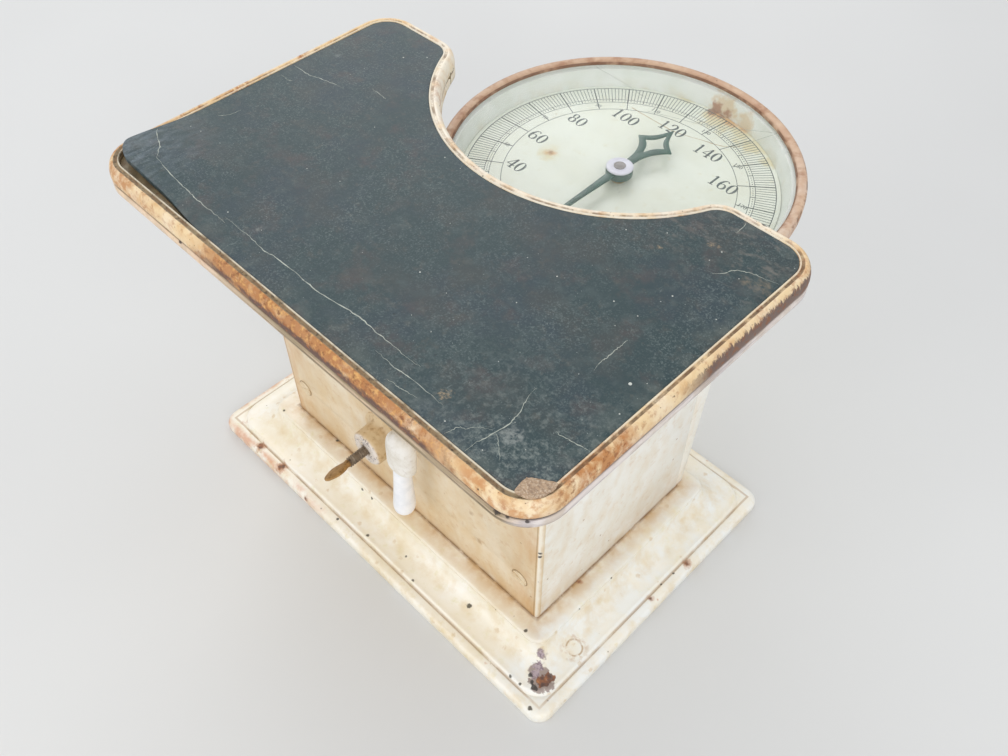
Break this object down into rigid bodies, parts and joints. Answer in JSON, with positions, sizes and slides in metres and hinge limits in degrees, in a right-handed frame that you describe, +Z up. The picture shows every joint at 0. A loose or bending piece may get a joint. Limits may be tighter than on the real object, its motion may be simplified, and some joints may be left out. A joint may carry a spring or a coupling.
{
  "type": "personal weighing scale",
  "caption": "Antique personal weighing scale: a low platform with a dark mat on an enamelled casing and moulded plinth, with a lever train inside and a round spring dial behind.",
  "frame": {"origin": "on the floor under the middle of the whole outline", "axes": "+Z up, +Y from the user towards the dial, +X to the user's right"},
  "size_m": [0.309, 0.3479, 0.2424],
  "materials": {
    "enamel": "aged cream-white gloss enamel, chipped",
    "rim_paint": "cream paint worn to rust along the edges",
    "mat": "dark teal ribless rubber, scuffed",
    "fitting_paint": "tan paint, worn",
    "bezel_paint": "pinkish-brown paint",
    "dial_white": "greenish-white printed face",
    "glass": "clear flat glass",
    "pointer_green": "dark green satin paint",
    "cap_white": "white gloss paint",
    "handle_white": "bright white gloss enamel",
    "bronze": "dull dark bronze",
    "iron": "dark bare casting",
    "steel": "dull bare steel",
    "brass": "plain machined brass"
  },
  "bodies": {
    "stand": {"base_plinth": "enamel", "front_panel": "enamel", "left_panel": "enamel", "right_panel": "enamel", "rear_cover": "enamel", "front_panel_screws": "enamel", "zero_screw_boss": "fitting_paint", "lock_bush": "fitting_paint", "long_lever_stands": "iron", "short_lever_stands": "iron", "rocker_hanger": "iron", "rack_guides": "brass", "pointer_footstep": "brass", "face_bush": "brass", "dial_pan": "enamel", "dial_bracket": "iron", "dial_face": "dial_white", "bezel_ring": "bezel_paint", "dial_glass": "glass", "zero_shaft_brackets": "iron"},
    "platform": {"platform_casting": "rim_paint", "platform_mat": "mat", "platform_posts": "iron", "post_screws": "steel"},
    "long_lever": {"long_lever": "iron", "long_lever_edges": "steel"},
    "short_lever": {"short_lever": "iron", "short_lever_edges": "steel"},
    "links": {"lever_links": "steel"},
    "yoke": {"spring_yoke": "steel"},
    "transfer": {"transfer_link": "steel"},
    "rocker": {"rocker_shaft": "steel", "rocker_arms": "iron"},
    "rack": {"rack": "brass"},
    "pointer": {"pointer_shaft": "steel", "pinion": "brass", "pointer": "pointer_green", "pointer_cap": "cap_white"},
    "pad": {"swivel_pad": "steel"},
    "zero_screw": {"zero_screw": "bronze"},
    "zero_rocker": {"zero_shaft": "steel", "zero_arms": "iron", "main_spring": "steel"},
    "lock": {"lock_lever": "handle_white", "lock_shaft": "steel", "lock_cam": "iron"}
  },
  "joints": [
    {"name": "long_lever_tilt", "type": "hinge", "parent": "stand", "child": "long_lever", "pos_m": [-0.103, -0.05615, 0.08], "axis": [0, 1, 0], "range_deg": [0, 5.72], "stiffness_Nm_per_rad": 160, "springref_deg": -0.29},
    {"name": "platform_drop", "type": "slide", "parent": "stand", "child": "platform", "axis": [0, 0, -1], "range_m": [0, 0.0015]},
    {"name": "short_lever_tilt", "type": "hinge", "parent": "stand", "child": "short_lever", "pos_m": [0.103, -0.05615, 0.048], "axis": [0, -1, 0], "range_deg": [0, 5.72]},
    {"name": "links_drop", "type": "slide", "parent": "stand", "child": "links", "axis": [0, 0, -1], "range_m": [0, 0.01027]},
    {"name": "yoke_drop", "type": "slide", "parent": "stand", "child": "yoke", "axis": [0, 0, -1], "range_m": [0, 0.01705], "deforming": ["main_spring"]},
    {"name": "transfer_drop", "type": "slide", "parent": "stand", "child": "transfer", "axis": [0, 0, -1], "range_m": [0, 0.01525]},
    {"name": "rocker_swing", "type": "hinge", "parent": "stand", "child": "rocker", "pos_m": [0, -0.02045, 0.11944], "axis": [1, 0, 0], "range_deg": [0, 30]},
    {"name": "rack_pull", "type": "slide", "parent": "stand", "child": "rack", "axis": [0, -1, 0], "range_m": [0, 0.02635]},
    {"name": "pointer_turn", "type": "hinge", "parent": "stand", "child": "pointer", "pos_m": [0, 0.06575, 0.1846], "axis": [0, 0, -1], "range_deg": [0, 360]},
    {"name": "pad_push", "type": "slide", "parent": "stand", "child": "pad", "axis": [0, 1, 0], "range_m": [-0.001, 0.001]},
    {"name": "zero_screw_turn", "type": "hinge", "parent": "pad", "child": "zero_screw", "pos_m": [-0.015, -0.13255, 0.081], "axis": [0, 1, 0], "range_deg": [-360, 360]},
    {"name": "zero_rocker_tilt", "type": "hinge", "parent": "stand", "child": "zero_rocker", "pos_m": [0, -0.10155, 0.15], "axis": [1, 0, 0], "range_deg": [-0.83, 0.83]},
    {"name": "lock_swing", "type": "hinge", "parent": "stand", "child": "lock", "pos_m": [0.017, -0.13255, 0.118], "axis": [0, -1, 0], "range_deg": [0, 90]}
  ],
  "couplings": [
    {"joint": "platform_drop", "follows": "long_lever_tilt", "m_per_rad": 0.014975},
    {"joint": "short_lever_tilt", "follows": "long_lever_tilt", "ratio": 1},
    {"joint": "links_drop", "follows": "long_lever_tilt", "m_per_rad": 0.10283},
    {"joint": "yoke_drop", "follows": "long_lever_tilt", "m_per_rad": 0.17072},
    {"joint": "transfer_drop", "follows": "long_lever_tilt", "m_per_rad": 0.15275},
    {"joint": "rocker_swing", "follows": "long_lever_tilt", "ratio": 5.2448},
    {"joint": "rack_pull", "follows": "long_lever_tilt", "m_per_rad": 0.26389},
    {"joint": "pointer_turn", "follows": "long_lever_tilt", "ratio": 62.832},
    {"joint": "pad_push", "follows": "zero_rocker_tilt", "m_per_rad": 0.069},
    {"joint": "zero_screw_turn", "follows": "zero_rocker_tilt", "ratio": 433.54}
  ]
}
